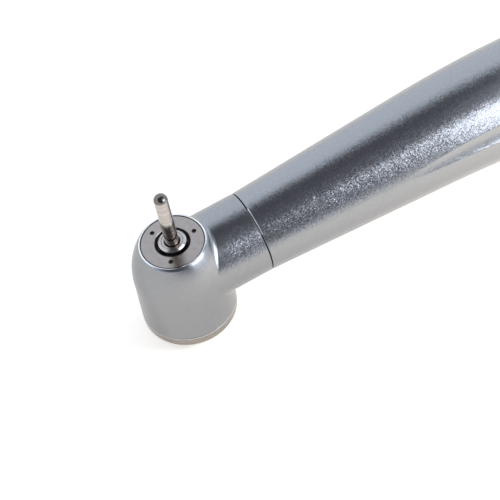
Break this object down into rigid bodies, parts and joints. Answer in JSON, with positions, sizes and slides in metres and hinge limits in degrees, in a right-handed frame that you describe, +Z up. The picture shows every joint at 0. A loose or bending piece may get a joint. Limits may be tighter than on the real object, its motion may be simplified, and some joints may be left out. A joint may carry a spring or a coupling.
{
  "type": "high speed dental handpiece",
  "caption": "High speed dental handpiece: a small round air turbine head with a push-button chuck and bur shank, on a bent satin handle with a four-tube hose connector.",
  "frame": {"origin": "middle of the handpiece's footprint, on the surface that it lies on", "axes": "+X along the handle from the head to the hose connector, +Z up, with the bur pointing up and slightly forwards"},
  "size_m": [0.1283, 0.015, 0.0247],
  "materials": {
    "body_satin_chrome": "satin pearl chrome plate on brass",
    "plate_steel": "fine turned stainless steel",
    "cap_steel": "fine turned stainless steel",
    "button_steel": "turned stainless steel with a shallow dish",
    "spring_steel": "drawn stainless wire and strip",
    "carrier_steel": "ground stainless steel",
    "rotor_steel": "ground stainless steel",
    "collet_steel": "hardened and ground steel",
    "impeller_aluminium": "milled aluminium",
    "bur_steel": "ground and polished hard metal shank",
    "bearing_steel": "ground bearing steel",
    "ball_steel": "polished bearing balls",
    "cage_resin": "brown high temperature resin",
    "black_rubber": "black moulded rubber",
    "tube_steel": "drawn stainless tube",
    "support_plastic": "natural moulded plastic",
    "collar_chrome": "polished chrome plate on brass",
    "connector_chrome": "bright nickel and chrome plate on brass"
  },
  "bodies": {
    "handpiece": {"head_housing": "body_satin_chrome", "handle_shell": "body_satin_chrome", "face_plate": "plate_steel", "back_cap": "cap_steel", "cap_retainer_disc": "cap_steel", "button_spring": "spring_steel", "preload_washer": "spring_steel", "rear_bearing_carrier": "carrier_steel", "carrier_o_ring": "black_rubber", "neck_o_ring": "black_rubber", "drive_air_tube": "tube_steel", "water_tube": "tube_steel", "chip_air_tube": "tube_steel", "exhaust_stub": "tube_steel", "tube_support_disc": "support_plastic", "rear_collar": "collar_chrome", "rear_connector": "connector_chrome", "rear_outer_race": "bearing_steel", "rear_bearing_shield": "black_rubber", "rear_bearing_o_ring": "black_rubber", "front_outer_race": "bearing_steel", "front_bearing_shield": "black_rubber", "front_bearing_o_ring": "black_rubber"},
    "button": {"push_button": "button_steel"},
    "rotor": {"rotor_spindle": "rotor_steel", "turbine_impeller": "impeller_aluminium", "rear_inner_race": "bearing_steel", "front_inner_race": "bearing_steel", "chuck_collet": "collet_steel", "chuck_spring": "spring_steel"},
    "front_cage": {"front_bearing_cage": "cage_resin", "front_bearing_balls": "ball_steel"},
    "rear_cage": {"rear_bearing_cage": "cage_resin", "rear_bearing_balls": "ball_steel"},
    "plunger": {"chuck_plunger": "rotor_steel"},
    "bur": {"bur_blank": "bur_steel"}
  },
  "joints": [
    {"name": "rotor_spin", "type": "hinge", "parent": "handpiece", "child": "rotor", "pos_m": [-0.05866, 0, 0.00893], "axis": [-0.168, 0, 0.9858], "continuous": true},
    {"name": "front_cage_spin", "type": "hinge", "parent": "handpiece", "child": "front_cage", "pos_m": [-0.05916, 0, 0.01187], "axis": [-0.168, 0, 0.9858], "continuous": true},
    {"name": "rear_cage_spin", "type": "hinge", "parent": "handpiece", "child": "rear_cage", "pos_m": [-0.05813, 0, 0.00581], "axis": [-0.168, 0, 0.9858], "continuous": true},
    {"name": "button_press", "type": "slide", "parent": "handpiece", "child": "button", "axis": [-0.168, 0, 0.9858], "range_m": [0, 0.0006], "stiffness_N_per_m": 4000, "springref_m": -0.0003, "deforming": ["button_spring"]},
    {"name": "plunger_slide", "type": "slide", "parent": "rotor", "child": "plunger", "axis": [-0.168, 0, 0.9858], "range_m": [0, 0.00035], "deforming": ["chuck_spring"]},
    {"name": "bur_withdraw", "type": "slide", "parent": "rotor", "child": "bur", "axis": [-0.168, 0, 0.9858], "range_m": [0, 0.012]}
  ],
  "couplings": [
    {"joint": "front_cage_spin", "follows": "rotor_spin", "ratio": 0.395},
    {"joint": "rear_cage_spin", "follows": "rotor_spin", "ratio": 0.395},
    {"joint": "plunger_slide", "follows": "button_press", "ratio": 0.583}
  ]
}
